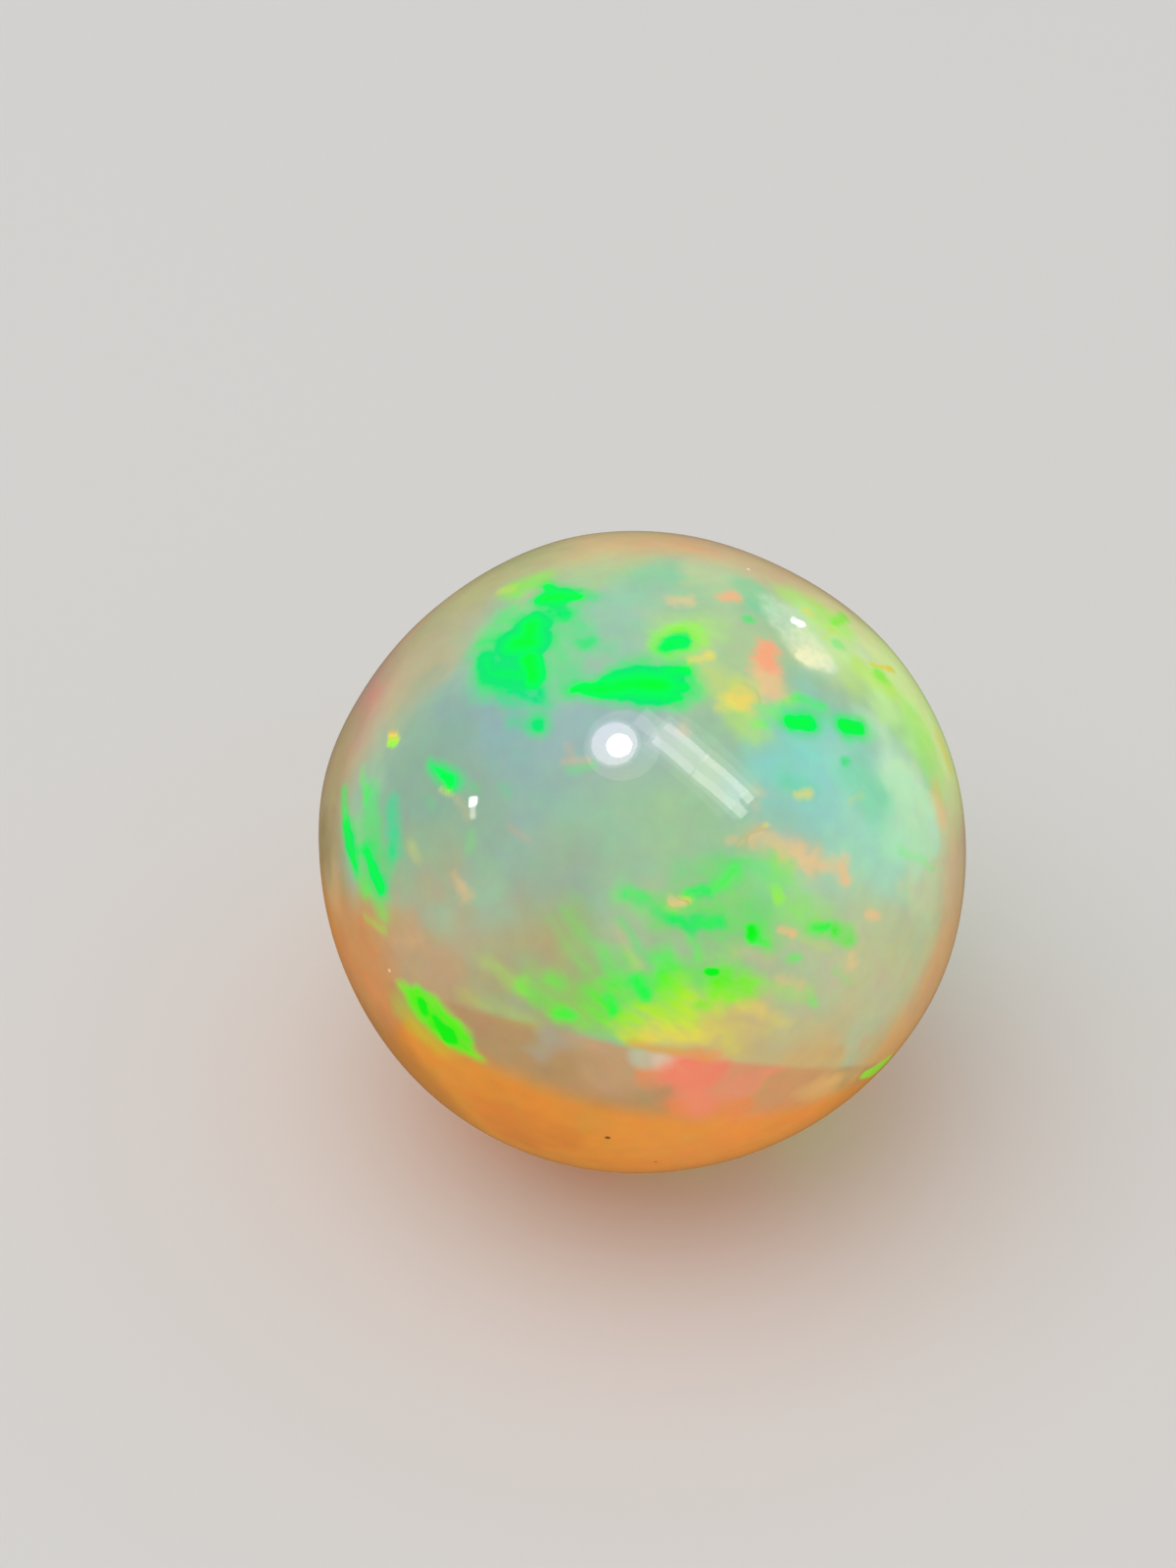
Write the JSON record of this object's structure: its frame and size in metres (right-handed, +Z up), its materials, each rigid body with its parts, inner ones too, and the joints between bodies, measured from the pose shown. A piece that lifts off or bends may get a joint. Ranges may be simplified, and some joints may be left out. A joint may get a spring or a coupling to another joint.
{
  "type": "ethiopian opal sphere",
  "caption": "Hand-polished ball of milky precious opal with green play-of-colour and a warm orange base, resting on a small flat spot.",
  "frame": {"origin": "middle of the small flat spot that the ball rests on", "axes": "+Z up through the ball's middle; the face that the picture shows looks to -Y and up; +X is to the right as that face is seen"},
  "size_m": [0.009, 0.009, 0.0089],
  "materials": {
    "precious_opal": "glassy hand polish over milky translucent opal with green, yellow and orange flashes"
  },
  "bodies": {
    "root": {"opal_ball": "precious_opal"}
  },
  "joints": []
}
